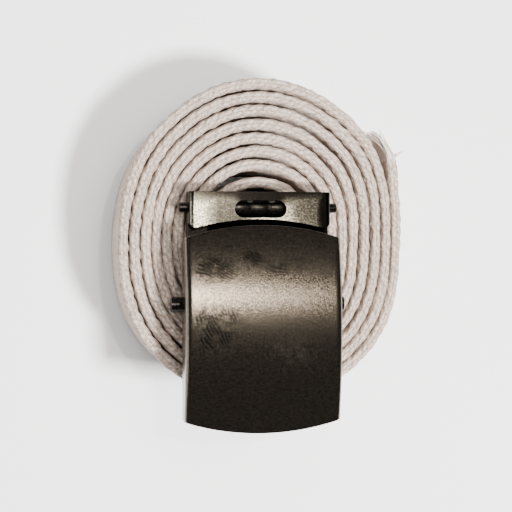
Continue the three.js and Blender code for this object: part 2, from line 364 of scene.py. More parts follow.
relief = float_height(stations[:, None], girth[None, :-1] - edge_middle) - CROWN_LEVEL
lumps = np.stack([wandering(LUMP_KNOTS) for _ in range(LUMP_ROWS)], axis=1)
lump_place = np.linspace(0, LUMP_ROWS - 1, EDGE_COLUMNS).round().astype(int)
unevenness = np.zeros(relief.shape)
unevenness[:, :EDGE_COLUMNS] = LUMP_SIZE * lumps[:, lump_place]
share = np.clip(SWELL + SWELL_WANDER * wandering(SWELL_KNOTS), 0, MOST_SWELL_SHARE)
swell = np.minimum(gap_here * share, MOST_SWELL) / 2
lift = SAG * (wandering(SAG_KNOTS) - 1) + RIPPLE_SHARE * SAG * wandering(RIPPLE_KNOTS)
print(f"relief {np.ptp(relief * FLOAT_RELIEF) / MM:.2f} mm, lift down to {lift.min() / MM:.2f} mm")

# %% [markdown]
# The strip's surface is the section carried along the path, pushed out by the relief and let down by the
# sag. Every station has one ring of points, so the faces follow from their numbers alone. Its map counts
# metres along the strip and round the section, which the cloth's material needs later.

# %% The webbing mesh
def grid_faces(rows, columns, closed):
    """Quads over a grid of points numbered row by row, closed round its columns or left open."""
    i = np.arange(rows - 1)[:, None]
    j = np.arange(columns if closed else columns - 1)[None, :]
    k = (j + 1) % columns
    quads = np.stack([i * columns + j, i * columns + k, (i + 1) * columns + k, (i + 1) * columns + j], -1)
    return quads.reshape(-1, 4)


def add_piece(name, vertices, faces, smooth=True):
    """A mesh object from an array of points and a list of faces, placed at the origin."""
    mesh = bpy.data.meshes.new(name)
    mesh.from_pydata(vertices.reshape(-1, 3).tolist(), [], [list(map(int, face)) for face in faces])
    mesh.polygons.foreach_set("use_smooth", [smooth] * len(mesh.polygons))
    mesh.validate()
    piece = bpy.data.objects.new(name, mesh)
    bpy.context.scene.collection.objects.link(piece)
    return piece


side = section[None, :, 0] + normal[None, :, 0] * (
    swell[:, None] + FLOAT_RELIEF * relief * near_top + unevenness
)
height = section[None, :, 1] + near_top * (normal[None, :, 1] * FLOAT_RELIEF * relief + lift[:, None])
points = np.empty((len(stations), len(section), 3))
points[..., :2] = path[:, None, :] - outward[:, None, :] * side[..., None]
points[..., 2] = np.minimum(height, WEB_WIDTH + TOP_LIMIT)

columns = len(section)
quads = grid_faces(len(stations), columns, True)
first_cap = list(range(columns))[::-1]
last_cap = list(range((len(stations) - 1) * columns, len(stations) * columns))
webbing = add_piece("canvas_webbing", points, [*quads, first_cap, last_cap])
corner_u = np.repeat(np.arange(len(stations) - 1), columns)[:, None] + np.array([0, 0, 1, 1])
corner_v = np.tile(np.arange(columns), len(stations) - 1)[:, None] + np.array([0, 1, 1, 0])
weave_uv = np.zeros((len(webbing.data.loops), 2))
weave_uv[: quads.size, 0] = stations[corner_u.ravel()]
weave_uv[: quads.size, 1] = girth[corner_v.ravel()] - edge_middle
webbing.data.uv_layers.new(name="weave").data.foreach_set("uv", weave_uv.ravel())
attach(webbing, "belt")
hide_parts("webbing")
print("webbing faces", len(webbing.data.polygons))

# %% [markdown]
# The outer end of the strip is cut and not bound, so its yarns have worked loose. Hair particles could make
# them, but they don't export. Each loose yarn follows a short curve that leaves the cut face, spreads a
# little and droops. Most are long and lie along the roll; a few short ones stick outwards. Lengths are in
# millimetres, and all the curves are worked out as one array.

# %% Lines of the loose yarns
YARNS = 620
YARN_STEPS = 7
YARN_RADIUS = 0.19 * MM
OUTER_SHARE = 0.16
START_INSIDE = -0.12
START_ACROSS = (-0.85, 0.85)
START_HEIGHT = (0.03, 0.985)
START_CROWDING = 0.8
LONG_YARN = 6.6
LONG_YARN_LOSS = 1.9
LONG_YARN_SPREAD = (-1.6, 0.9)
SHORT_YARN = (0.8, 2.2)
LONG_LEAN = (-0.5, -0.15)
SHORT_LEAN = (0.9, 2.2)
DROOP = (-0.5, 0.12)
CURL = (-0.9, 0.9)
CURL_SHARE = 0.12
YARN_HEADROOM = 0.2 * MM
end_heading = -heading[2]
end_outward = outward[2]


def yarn_lines():
    """The middle lines of all the yarns, with t from 0 at the cut face to 1 at the tip.

    A yarn goes forward by its length times t, sideways by its lean times t squared and its curl times
    t cubed, and down by its droop times t to the power 1.5."""
    start_across = rng.uniform(*START_ACROSS, YARNS) * half
    start_height = rng.uniform(*START_HEIGHT, YARNS) ** START_CROWDING * WEB_WIDTH
    outer = np.arange(YARNS) < OUTER_SHARE * YARNS
    start_across = np.where(outer, np.abs(start_across), start_across)
    long_yarn = LONG_YARN - LONG_YARN_LOSS * start_across / half + rng.uniform(*LONG_YARN_SPREAD, YARNS)
    length = np.where(outer, rng.uniform(*SHORT_YARN, YARNS), long_yarn) * MM
    lean = np.where(outer, rng.uniform(*SHORT_LEAN, YARNS), rng.uniform(*LONG_LEAN, YARNS))
    droop = rng.uniform(*DROOP, YARNS)
    curl = rng.uniform(*CURL, YARNS)
    t = np.linspace(START_INSIDE, 1, YARN_STEPS)[None, :]
    forward = length[:, None] * t
    sideways = start_across[:, None] + length[:, None] * (
        lean[:, None] * t**2 + CURL_SHARE * curl[:, None] * t**3
    )
    up = start_height[:, None] + length[:, None] * droop[:, None] * np.clip(t, 0, 1) ** 1.5
    line = np.empty((YARNS, YARN_STEPS, 3))
    line[..., :2] = path[0] + forward[..., None] * end_heading + sideways[..., None] * end_outward
    line[..., 2] = np.clip(up, YARN_RADIUS, WEB_WIDTH + YARN_HEADROOM)
    return line, t


yarn_middles, along_yarn = yarn_lines()
yarn_reach = np.linalg.norm(yarn_middles[:, -1] - yarn_middles[:, 0], axis=1).max()
print(f"yarns reach {yarn_reach / MM:.1f} mm")

# %% [markdown]
# A line has no thickness, so each yarn becomes a tube of five sides that thins towards its tip. Five are
# enough for a thing two pixels wide, and there are hundreds. All the tubes are joined in one mesh, which
# goes with the sheet of webbing.

# %% The frayed end
YARN_SIDES = 5
YARN_THINNING = 0.55


def yarn_tubes(line, t):
    """A ring of points round every point of the lines, thinner towards the tip."""
    tangent = np.gradient(line, axis=1)
    tangent /= np.linalg.norm(tangent, axis=2, keepdims=True)
    beside = np.cross(tangent, np.array([0.0, 0.0, 1.0]))
    beside /= np.linalg.norm(beside, axis=2, keepdims=True)
    over = np.cross(beside, tangent)
    angle = np.linspace(0, 2 * np.pi, YARN_SIDES, endpoint=False)[:, None]
    radius = YARN_RADIUS * (1 - YARN_THINNING * np.clip(t, 0, 1) ** 3)[..., None, None]
    round_it = beside[..., None, :] * np.cos(angle) + over[..., None, :] * np.sin(angle)
    return line[..., None, :] + radius * round_it


one_yarn = grid_faces(YARN_STEPS, YARN_SIDES, True)
yarn_size = YARN_STEPS * YARN_SIDES
yarn_faces = []
for first_point in range(0, YARNS * yarn_size, yarn_size):
    yarn_faces += (one_yarn + first_point).tolist()
    yarn_faces.append([first_point + j for j in range(YARN_SIDES)][::-1])
    yarn_faces.append([first_point + yarn_size - YARN_SIDES + j for j in range(YARN_SIDES)])
fray = add_piece("frayed_yarns", yarn_tubes(yarn_middles, along_yarn), yarn_faces)
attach(fray, "belt")
print(YARNS, "loose yarns,", len(yarn_faces), "faces")

# %% [markdown]
# The face plate is one sheet, arched along the belt's run, with rounded ends and sides turned down over
# the channel. It could be cut from a block with booleans, but a sheet that is bent like the real one keeps
# even faces. So it is a function of two parameters: one runs across the sheet and down its turned sides,
# and one runs along it. Solidify gives the sheet its thickness, and Bevel breaks its cut edges.

# %% The face plate
PLATE_SHEET = 1 * MM
PLATE_BULGE = 3.2 * MM
PLATE_RISE = 3.6 * MM
PLATE_BEND = 1.4 * MM
PLATE_EDGE = 0.14 * MM
PLATE_EDGE_ANGLE = 50
plate_half_width = (plate_high[0] - plate_low[0]) / 2
plate_half_length = (plate_high[1] - plate_low[1]) / 2
arch_radius = (plate_half_length**2 + PLATE_RISE**2) / (2 * PLATE_RISE)
end_radius = (plate_half_width**2 + PLATE_BULGE**2) / (2 * PLATE_BULGE)


def mirrored(half_line, sign):
    """A line from the middle to one side, continued to the other side."""
    return np.concatenate([sign * half_line[:0:-1], half_line])


def plate_surface(rows, flat_columns, bend_columns, skirt_columns):
    """The plate's outer face.

    Along it, y runs over the side length plus a circular bulge that fades to nothing at the sides.
    Its height is a circle arc in y. Across it, x runs flat, then round a quarter bend, then down."""
    bend = np.linspace(0, np.pi / 2, bend_columns)[1:]
    flat = np.linspace(0, plate_half_width - PLATE_BEND, flat_columns)
    skirt = np.linspace(0, 1, skirt_columns + 1)[1:]
    bent = plate_half_width - PLATE_BEND + PLATE_BEND * np.sin(bend)
    x = mirrored(np.concatenate([flat, bent, np.full(skirt_columns, plate_half_width)]), -1)
    bent_drop = PLATE_BEND * (1 - np.cos(bend))
    drop = np.concatenate([np.zeros(flat_columns), bent_drop, np.full(skirt_columns, PLATE_BEND)])
    drop = mirrored(drop, 1)
    share = mirrored(np.concatenate([np.zeros(flat_columns + bend_columns - 1), skirt]), 1)
    bulge = np.sqrt(end_radius**2 - x**2) - (end_radius - PLATE_BULGE)
    reach = plate_half_length - PLATE_BULGE + bulge
    y = np.linspace(-1, 1, rows)[:, None] * reach[None, :]
    top = np.sqrt(arch_radius**2 - y**2) - arch_radius + plate_high[2] - drop[None, :]
    z = top * (1 - share) + plate_low[2] * share
    return np.stack([np.broadcast_to(x, y.shape) + plate_middle[0], y + plate_middle[1], z], -1)


def break_edges(piece, width, corner_angle):
    """A Bevel of two segments on every edge sharper than an angle."""
    bevel = piece.modifiers.new("broken_edge", "BEVEL")
    bevel.width = width
    bevel.segments = 2
    bevel.limit_method = "ANGLE"
    bevel.angle_limit = math.radians(corner_angle)
    return bevel


sheet_points = plate_surface(rows=97, flat_columns=33, bend_columns=7, skirt_columns=6)
face_plate = add_piece("front_plate", sheet_points, grid_faces(*sheet_points.shape[:2], False))
wall = face_plate.modifiers.new("wall", "SOLIDIFY")
wall.thickness = PLATE_SHEET
wall.offset = -1
wall.use_even_offset = True
break_edges(face_plate, PLATE_EDGE, PLATE_EDGE_ANGLE)
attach(face_plate, "belt")
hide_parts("face_plate")
print("plate points", sheet_points.shape)

# %% [markdown]
# The channel, the bar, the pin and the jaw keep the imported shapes, which are already true. What they lack
# is the soft edge that tumbling leaves on small hardware. A copy of each mesh is joined at its shared
# corners and its flat faces are made whole, so that a Bevel can break its sharp edges.

# %% Softened copies of the metal parts
WELD = 0.001 * MM
FLAT_ANGLE = 0.5
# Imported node, name here, body, slot, width of the broken edge, and the angle from which edges are broken
METAL_PARTS = [
    ("box_channel", "buckle_channel", "belt", "blackened_channel", 0.12 * MM, 28),
    ("slide_bar", "ridged_bar", "bar", "blackened_bar", 0.06 * MM, 40),
    ("jaw_pin", "hinge_pin", "belt", "blackened_bar", 0.45 * MM, 40),
    ("clamp_jaw", "toothed_jaw", "jaw", "blackened_bar", 0.08 * MM, 40),
]


def softened(node, name, body, slot_name, edge, corner_angle):
    """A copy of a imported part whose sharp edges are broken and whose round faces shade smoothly."""
    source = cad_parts[node]
    corners = np.array([source.matrix_world @ v.co for v in source.data.vertices])
    keys, inverse = np.unique((corners / WELD).round().astype(np.int64), axis=0, return_inverse=True)
    inverse = inverse.ravel()
    first = np.zeros(len(keys), int)
    first[inverse] = np.arange(len(corners))
    faces = [[int(inverse[i]) for i in p.vertices] for p in source.data.polygons]
    piece = add_piece(name, corners[first], [face for face in faces if len(set(face)) > 2])
    flatten = piece.modifiers.new("flat_faces", "DECIMATE")
    flatten.decimate_type = "DISSOLVE"
    flatten.angle_limit = math.radians(FLAT_ANGLE)
    bevel = break_edges(piece, edge, corner_angle)
    bevel.use_clamp_overlap = True
    bevel.harden_normals = True
    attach(piece, body)
    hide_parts(node)
    return piece


channel, bar, pin, jaw = (softened(*row) for row in METAL_PARTS)
print("metal copies", [piece.name for piece in (channel, bar, pin, jaw)])

# %% [markdown]
# Between the channel's two turned-in lips lies a thin sheet painted near black, which is painted shade. It
# closes the view through the window and through the gap above the plate, where the real buckle shows only
# black shade. It is a flat sheet 0.6 mm thick, set in from the channel's ends.

# %% The channel's back, a sheet of painted shade
BACK_HALF_WIDTH = 13.4 * MM
BACK_BOTTOM = 0.1 * MM
BACK_TOP = 0.7 * MM
BACK_INSET = 1 * MM
box_middle_x = (box_low[0] + box_high[0]) / 2
back_low = [box_middle_x - BACK_HALF_WIDTH, box_low[1] + BACK_INSET, box_low[2] + BACK_BOTTOM]
back_high = [box_middle_x + BACK_HALF_WIDTH, box_high[1] - BACK_INSET, box_low[2] + BACK_TOP]
corner_sides = np.indices((2, 2, 2)).reshape(3, -1).T
back_points = np.where(corner_sides == 1, back_high, back_low)
back_faces = [(0, 1, 3, 2), (4, 6, 7, 5), (0, 4, 5, 1), (2, 3, 7, 6), (0, 2, 6, 4), (1, 5, 7, 3)]
# A sheet painted near black as painted shade.
back = add_piece("painted_shade_back", back_points, back_faces, smooth=False)
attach(back, "belt")
print("back strip", (np.ptp(back_points, axis=0) / MM).round(1), "mm")

# %% [markdown]
# Every finish is built from shader nodes, which are wordy to write out. So a few helpers come first. Each
# adds one node and hands back its output, and takes a number, a colour or another node's output alike, so
# that a finish reads like a formula.

# %% Helpers for shader nodes
def feed(tree, value, socket):
    """Gives a socket its value: another node's output, a colour, or a plain number or vector."""
    if isinstance(value, bpy.types.NodeSocket):
        tree.links.new(value, socket)
    elif socket.type == "RGBA":
        socket.default_value = (*value, 1)
    else:
        socket.default_value = value


def add_math(tree, operation, a, b=None, clamp=False):
    """A Math node on one or two numbers."""
    node = tree.nodes.new("ShaderNodeMath")
    node.operation = operation
    node.use_clamp = clamp
    feed(tree, a, node.inputs[0])
    if b is not None:
        feed(tree, b, node.inputs[1])
    return node.outputs[0]


def add_vector(tree, operation, a, b=None):
    """A Vector Math node on one or two vectors. A length or a dot product comes back as a number."""
    node = tree.nodes.new("ShaderNodeVectorMath")
    node.operation = operation
    feed(tree, a, node.inputs[0])
    if b is not None:
        feed(tree, b, node.inputs[1])
    return node.outputs["Value" if operation in ("LENGTH", "DOT_PRODUCT") else "Vector"]


def add_noise(tree, vector, scale, detail=2.0, roughness=0.5):
    """A noise texture's value between 0 and 1, with so many grains a metre."""
    node = tree.nodes.new("ShaderNodeTexNoise")
    feed(tree, vector, node.inputs["Vector"])
    feed(tree, scale, node.inputs["Scale"])
    node.inputs["Detail"].default_value = detail
    node.inputs["Roughness"].default_value = roughness
    return node.outputs["Fac"]


def add_ramp(tree, value, low, high):
    """Stretches a value so that low becomes 0 and high becomes 1, with a smooth ease."""
    node = tree.nodes.new("ShaderNodeMapRange")
    node.interpolation_type = "SMOOTHSTEP"
    feed(tree, low, node.inputs["From Min"])
    feed(tree, high, node.inputs["From Max"])
    feed(tree, value, node.inputs["Value"])
    return node.outputs["Result"]


def add_mix(tree, amount, first, second):
    """Blends two colours by an amount."""
    node = tree.nodes.new("ShaderNodeMix")
    node.data_type = "RGBA"
    feed(tree, amount, node.inputs[0])
    feed(tree, first, node.inputs[6])
    feed(tree, second, node.inputs[7])
    return node.outputs[2]


def add_bump(tree, height, strength, distance):
    """The normal that a height gives the surface."""
    node = tree.nodes.new("ShaderNodeBump")
    node.inputs["Strength"].default_value = strength
    node.inputs["Distance"].default_value = distance
    feed(tree, height, node.inputs["Height"])
    return node.outputs["Normal"]


print("helpers:", [helper.__name__ for helper in (add_math, add_vector, add_noise, add_ramp, add_mix)])

# %% [markdown]
# All the blackened parts share one grain, the fine unevenness of tumbled and blackened steel. It is a
# shader group, so that each material can place it with a scale of its own.

# %% The grain
GRAIN_DETAIL = 3.0
GRAIN_HARSHNESS = 0.65


def new_group(name, inputs, output):
    """A shader node group with named inputs and one number as its output."""
    group = bpy.data.node_groups.new(name, "ShaderNodeTree")
    for socket, kind in inputs.items():
        group.interface.new_socket(socket, in_out="INPUT", socket_type=kind)
    group.interface.new_socket(output, in_out="OUTPUT", socket_type="NodeSocketFloat")
    enter = group.nodes.new("NodeGroupInput")
    leave = group.nodes.new("NodeGroupOutput")
    return group, enter.outputs, leave.inputs[output]


def place_group(tree, group, **values):
    """Puts a shader group in a material with a value for each of its inputs."""
    node = tree.nodes.new("ShaderNodeGroup")
    node.node_tree = group
    for socket, value in values.items():
        feed(tree, value, node.inputs[socket])
    return node.outputs[0]


grain_group, given, result = new_group(
    "fine_grain", {"Vector": "NodeSocketVector", "Scale": "NodeSocketFloat"}, "Grain"
)
grain_noise = add_noise(grain_group, given["Vector"], given["Scale"], GRAIN_DETAIL, GRAIN_HARSHNESS)
feed(grain_group, grain_noise, result)
print("group:", grain_group.name)

# %% [markdown]
# Fingers leave marks on satin metal: an oval of fine ridges, broken up and ragged at its rim. An image
# could be laid on for each, but a formula can be placed anywhere and at any size. Ridges are a sine across
# the mark, bent by noise; a second noise breaks them up; and the distance from the middle, made ragged,
# ends them.

# %% The finger mark
RIDGE_PITCH = 0.75 * MM
RIDGE_BEND = 4 * RIDGE_PITCH
RIDGE_BEND_SCALE = 140
RIDGE_LEVEL = 1.4
RIDGE_GAIN = 0.42
RIM_SCALE = 260
RIM_DETAIL = 4.0
RIM_HARSHNESS = 0.7
RIM_OUT_IN = (1.55, 0.75)
BREAK_SCALE = 420
BREAK_LIMITS = (0.36, 0.56)


def finger_mark_group():
    """A mask from 0 to 1: ridges, times where they are unbroken, times how far inside the oval."""
    vectors = dict.fromkeys(("Vector", "Middle", "Radii", "Across"), "NodeSocketVector")
    tree, given, result = new_group("finger_mark", vectors, "Mark")
    where = given["Vector"]
    away = add_vector(tree, "SUBTRACT", where, given["Middle"])
    reach = add_vector(tree, "LENGTH", add_vector(tree, "DIVIDE", away, given["Radii"]))
    ragged = add_math(tree, "ADD", reach, add_noise(tree, where, RIM_SCALE, RIM_DETAIL, RIM_HARSHNESS))
    inside = add_ramp(tree, ragged, *RIM_OUT_IN)
    bend = add_math(tree, "MULTIPLY", add_noise(tree, where, RIDGE_BEND_SCALE, detail=1.0), RIDGE_BEND)
    across = add_math(tree, "ADD", add_vector(tree, "DOT_PRODUCT", away, given["Across"]), bend)
    wave = add_math(tree, "SINE", add_math(tree, "MULTIPLY", across, 2 * math.pi / RIDGE_PITCH))
    ridges = add_math(tree, "MULTIPLY", add_math(tree, "ADD", wave, RIDGE_LEVEL), RIDGE_GAIN)
    unbroken = add_ramp(tree, add_noise(tree, where, BREAK_SCALE, detail=3.0), *BREAK_LIMITS)
    mark = add_math(tree, "MULTIPLY", add_math(tree, "MULTIPLY", ridges, unbroken), inside)
    feed(tree, mark, result)
    return tree


mark_group = finger_mark_group()
print("group:", mark_group.name, "with ridges", RIDGE_PITCH / MM, "mm apart")

# %% [markdown]
# Marks on the metal come in three kinds. Where fingers have been, the tint is darker and a little light
# scatters. On the channel's deck the blackening is rubbed thin, which is wear; it is painted black down the
# sides, inside and in a few soft patches, which is painted shade where the deck mirrors no lamp. The jaw's
# tooth tips are paler. Painting it on an image would tie it to one unfolding of the mesh; here each kind is
# a mask worked out from places on the buckle.

# %% Wear and painted shade on the metal
SHADE_FADE = 0.5 * MM
SHADE_FADE_POWER = 2.5
SHADE_PATCH_LIMITS = (1.0, 0.35)


def marks_on(tree, where, marks):
    """Two masks from several finger marks: where they darken the metal, and where they scatter light.

    Each mark is a middle, two radii, the direction across its ridges, its darkness and its scatter."""
    darkened, scattered = 0.0, 0.0
    for middle, radii, across, darkness, scatter in marks:
        mark = place_group(
            tree, mark_group, Vector=where, Middle=middle, Radii=(*radii, 1), Across=(*across, 0)
        )
        darkened = add_math(tree, "MAXIMUM", add_math(tree, "MULTIPLY", mark, darkness), darkened)
        scattered = add_math(tree, "MAXIMUM", add_math(tree, "MULTIPLY", mark, scatter), scattered)
    return darkened, scattered


def oval(tree, where, middle, radii, limits):
    """A soft oval: 1 near its middle and 0 from its radii on."""
    away = add_vector(tree, "DIVIDE", add_vector(tree, "SUBTRACT", where, middle), (*radii, 1))
    return add_ramp(tree, add_vector(tree, "LENGTH", away), *limits)


def wear_and_shade_share(tree, where, height, patches):
    """How much of the deck's pale rubbed tint shows, which is wear: none below a height or in the patches,
    which are painted shade.
    """
    split = tree.nodes.new("ShaderNodeSeparateXYZ")
    tree.links.new(where, split.inputs[0])
    shade_mask = add_ramp(tree, split.outputs[2], height, height - SHADE_FADE)
    for middle, radii, depth in patches:
        patch = add_math(tree, "MULTIPLY", oval(tree, where, middle, radii, SHADE_PATCH_LIMITS), depth)
        shade_mask = add_math(tree, "MAXIMUM", shade_mask, patch)
    return add_math(tree, "POWER", add_math(tree, "SUBTRACT", 1.0, shade_mask), SHADE_FADE_POWER)


print("kinds of wear:", [kind.__name__ for kind in (marks_on, wear_and_shade_share, oval)])

# %% [markdown]
# Blackened steel is a metal with a very dark tint, where black paint would look like dull plastic. Its
# satin comes from grain in the tint, in the roughness and in a faint bump. All of it follows the surface
# in object coordinates, so that it stays put from every side.

# %% Blackened metal
GRAIN_LIMITS = (0.4, 0.62)
GRAIN_IN_ROUGHNESS = 0.12
GRAIN_BUMP = 0.32
GRAIN_DEPTH = 0.04 * MM
MARK_SHADE = 0.25
PALE_TIP_LIMITS = (1.0, 0.6)
# Near black: the blackening, and painted shade below the deck's edge and in the deck's patches.
BLACKENING_AND_SHADE_TINT = (0.004, 0.0035, 0.003)
PALE_TIP_TINT = (0.5, 0.47, 0.43)


def blackened_metal(name, tints, roughness, grain_scale, marks=(), wear_and_shade=None, pale_tips=()):
    """Satin blackened steel: a dark and a paler tint mottled by grain, then finger marks, paler ovals, and
    the deck's wear with its painted shade.
    """
    material, tree, shader = new_material(name)
    shader.inputs["Metallic"].default_value = 1.0
    where = tree.nodes.new("ShaderNodeTexCoord").outputs["Object"]
    grain = place_group(tree, grain_group, Vector=where, Scale=grain_scale)
    tint = add_mix(tree, add_ramp(tree, grain, *GRAIN_LIMITS), *tints)
    if marks:
        darkened, scattered = marks_on(tree, where, marks)
        tint = add_mix(tree, darkened, tint, tuple(MARK_SHADE * channel for channel in tints[0]))
        feed(tree, add_math(tree, "SUBTRACT", 1.0, scattered, clamp=True), shader.inputs["Metallic"])
    # Paler ovals, such as on the jaw's tooth tips.
    for middle, radii in pale_tips:
        tint = add_mix(tree, oval(tree, where, middle, radii, PALE_TIP_LIMITS), tint, PALE_TIP_TINT)
    if wear_and_shade is not None:
        tint = add_mix(tree, wear_and_shade_share(tree, where, *wear_and_shade), BLACKENING_AND_SHADE_TINT, tint)
    feed(tree, tint, shader.inputs["Base Color"])
    spread = add_math(tree, "MULTIPLY", grain, GRAIN_IN_ROUGHNESS)
    rough = add_math(tree, "ADD", spread, roughness - GRAIN_IN_ROUGHNESS / 2, clamp=True)
    feed(tree, rough, shader.inputs["Roughness"])
    feed(tree, add_bump(tree, grain, GRAIN_BUMP, GRAIN_DEPTH), shader.inputs["Normal"])
    return material


print("the grain's bump is", GRAIN_DEPTH / MM, "mm deep")

# %% [markdown]
# Now the finishes themselves. Places on the buckle are given in millimetres across and up from the plate's
# middle, as one would measure them with a rule. The plate has the smoothest satin, the deck is paler and
# rougher, and the bar, the pin and the jaw are nearly black.

# %% The metal finishes
GRAIN_SCALE = 2300
PLATE_GRAIN_SCALE = 2900
PLATE_TINTS = ((0.054, 0.045, 0.036), (0.132, 0.113, 0.09))
DECK_TINTS = ((0.16, 0.146, 0.11), (0.5, 0.465, 0.36))
BAR_TINTS = ((0.02, 0.018, 0.016), (0.05, 0.046, 0.04))
PAINTED_SHADE_TINTS = ((0.003, 0.003, 0.002), (0.006, 0.005, 0.004))
DECK_TOP = box_high[2]
DECK_EDGE = DECK_TOP - 0.2 * MM
TOOTH_TOP = DECK_TOP - 2 * MM


def on_buckle(across, up, height):
    """A place on the buckle, in millimetres from the plate's middle, at a height in metres."""
    return (plate_middle[0] + across * MM, plate_middle[1] + up * MM, height)


def radii(across, up):
    """Two radii in metres from millimetres."""
    return (across * MM, up * MM)


# Middle, radii, direction across the ridges, darkness, scatter
PLATE_MARKS = [
    (on_buckle(-12.6, 14.8, plate_high[2]), radii(6.4, 4.2), (0.45, 0.89), 2.0, 0.12),
    (on_buckle(-12.4, 0.5, plate_high[2]), radii(8.6, 7.2), (0.9, 0.44), 1.7, 0.16),
    (on_buckle(-3.0, 17.8, plate_high[2]), radii(3.4, 2.8), (0.5, 0.87), 2.0, 0.1),
    (on_buckle(5.0, 15.5, plate_high[2]), radii(7.0, 3.0), (0.3, 0.95), 1.0, 0.1),
    (on_buckle(7.0, -5.5, plate_high[2]), radii(7.0, 5.6), (0.97, 0.24), 0.0, 0.09),
]
# Soft patches painted black on the deck: painted shade where it mirrors no lamp.
# Middle, radii, depth
DECK_SHADE_PATCHES = [
    (on_buckle(0.0, 33.8, DECK_TOP), radii(12.0, 4.4), 1.0),
    (on_buckle(18.6, 29.0, DECK_TOP), radii(6.5, 14.0), 1.0),
    (on_buckle(-7.5, 29.5, DECK_TOP), radii(8.5, 11.0), 0.58),
    (on_buckle(13.5, 30.5, DECK_TOP), radii(8.5, 9.0), 0.53),
    (on_buckle(1.5, 37.5, DECK_TOP), radii(44.0, 8.5), 0.92),
]
# Paler ovals on the three tooth tips.
TOOTH_TIPS = [(on_buckle(across, 32.2, TOOTH_TOP), radii(0.9, 0.55)) for across in (-7.0, -2.4, 3.2)]

plate_finish = blackened_metal("blackened_plate", PLATE_TINTS, 0.2, PLATE_GRAIN_SCALE, marks=PLATE_MARKS)
# The deck's rubbed paleness is wear; its black sides and patches are painted shade.
deck_wear_and_shade = (DECK_EDGE, DECK_SHADE_PATCHES)
channel_finish = blackened_metal("blackened_channel", DECK_TINTS, 0.26, GRAIN_SCALE, wear_and_shade=deck_wear_and_shade)
bar_finish = blackened_metal("blackened_bar", BAR_TINTS, 0.3, GRAIN_SCALE)
jaw_finish = blackened_metal("jaw_with_pale_tips", BAR_TINTS, 0.3, GRAIN_SCALE, pale_tips=TOOTH_TIPS)
# The sheet inside the channel is painted near black, as painted shade.
painted_shade_finish = blackened_metal("painted_shade_inside", PAINTED_SHADE_TINTS, 0.8, GRAIN_SCALE)
metal_finishes = [
    (face_plate, plate_finish),
    (channel, channel_finish),
    (back, painted_shade_finish),
    (jaw, jaw_finish),
    (bar, bar_finish),
    (pin, bar_finish),
]
for piece, finish in metal_finishes:
    piece.data.materials.append(finish)
    print(piece.name, "is", finish.name)

# %% [markdown]
# The weave in the cloth's material is the formula of the mesh's floats again, in shader nodes, so that
# colour and relief line up. It is used twice: for the floats themselves, and for the finer stitches that
# cross them, which the mesh is too coarse to carry.

# %% The weave in shader nodes
STITCH_LENGTH = 2 * MM
STITCH_PITCH = 0.85 * MM
STITCH_WANDER = 0.9 * MM
STITCH_WANDER_SCALE = 500


def weave_mask(tree, u, v, length, pitch):
    """Half a wave across a row's pitch times half a wave along a yarn, as float_height has it."""
    row = add_math(tree, "ADD", add_math(tree, "DIVIDE", v, pitch), 0.5)
    nearest = add_math(tree, "ROUND", row)
    odd = add_math(tree, "FLOORED_MODULO", nearest, 2.0)
    off = add_math(tree, "SUBTRACT", row, nearest)
    over = add_math(tree, "ABSOLUTE", add_math(tree, "COSINE", add_math(tree, "MULTIPLY", off, math.pi)))
    over = add_math(tree, "POWER", over, ROW_FULLNESS)
    place = add_math(tree, "ADD", add_math(tree, "DIVIDE", u, length), add_math(tree, "MULTIPLY", odd, 0.5))
    place = add_math(tree, "ADD", place, add_math(tree, "MULTIPLY", off, FLOAT_SLANT))
    wave = add_math(tree, "ABSOLUTE", add_math(tree, "SINE", add_math(tree, "MULTIPLY", place, math.pi)))
    return add_math(tree, "MULTIPLY", over, add_math(tree, "POWER", wave, FLOAT_FULLNESS))


def grains_along(tree, u, v, along_scale, across_scale, detail):
    """Noise on the strip's map, with so many grains a metre each way, so that they lie along it."""
    joined = tree.nodes.new("ShaderNodeCombineXYZ")
    tree.links.new(add_math(tree, "MULTIPLY", u, along_scale), joined.inputs[0])
    tree.links.new(add_math(tree, "MULTIPLY", v, across_scale), joined.inputs[1])
    return add_noise(tree, joined.outputs[0], scale=1.0, detail=detail)


def strip_map(tree, coordinates, where):
    """Metres along the strip and round it, and the floats and the stitches there."""
    split = tree.nodes.new("ShaderNodeSeparateXYZ")
    tree.links.new(coordinates.outputs["UV"], split.inputs[0])
    u, v = split.outputs[0], split.outputs[1]
    floats = weave_mask(tree, u, v, FLOAT_LENGTH, ROW_PITCH)
    noise = add_noise(tree, where, STITCH_WANDER_SCALE, detail=1.0)
    wander = add_math(tree, "MULTIPLY", noise, STITCH_WANDER)
    stitches = weave_mask(tree, add_math(tree, "ADD", u, wander), v, STITCH_LENGTH, STITCH_PITCH)
    return u, v, floats, stitches


print("floats", FLOAT_LENGTH / MM, "mm long, stitches", STITCH_LENGTH / MM, "mm long")

# %% [markdown]
# The cotton is off-white. One flat colour would look like putty, so its colour changes at three scales:
# wide blotches, the floats and stitches of the weave, and the fuzz of the fibres. Crevices are painted
# darker and warmer: painted shade, where little light gets in, and dust that settles there. The stitches'
# crowns are painted paler, a painted highlight. The same layers, added up, are the height that makes the
# bump.

# %% Layers of the cloth
COTTON_TINTS = ((0.48, 0.365, 0.293), (0.43, 0.333, 0.277))
BLOTCH_SCALE = 160
BLOTCH_LIMITS = (0.35, 0.65)
# Colour of some fibres, the limits of the fuzz between which they come in, and their share
FIBRE_TINTS = [
    ((0.7, 0.6, 0.52), (0.5, 0.6), 0.7),
    ((0.21, 0.155, 0.118), (0.48, 0.37), 0.6),
]
FIBRE_SCALES = (1100.0, 3600.0)
FLECK_SCALES = (520.0, 1900.0)
FLECK_LIMITS = (0.58, 0.72)
CROWN_LIMITS = (0.86, 0.98)
CROWN_SHARE = 0.75
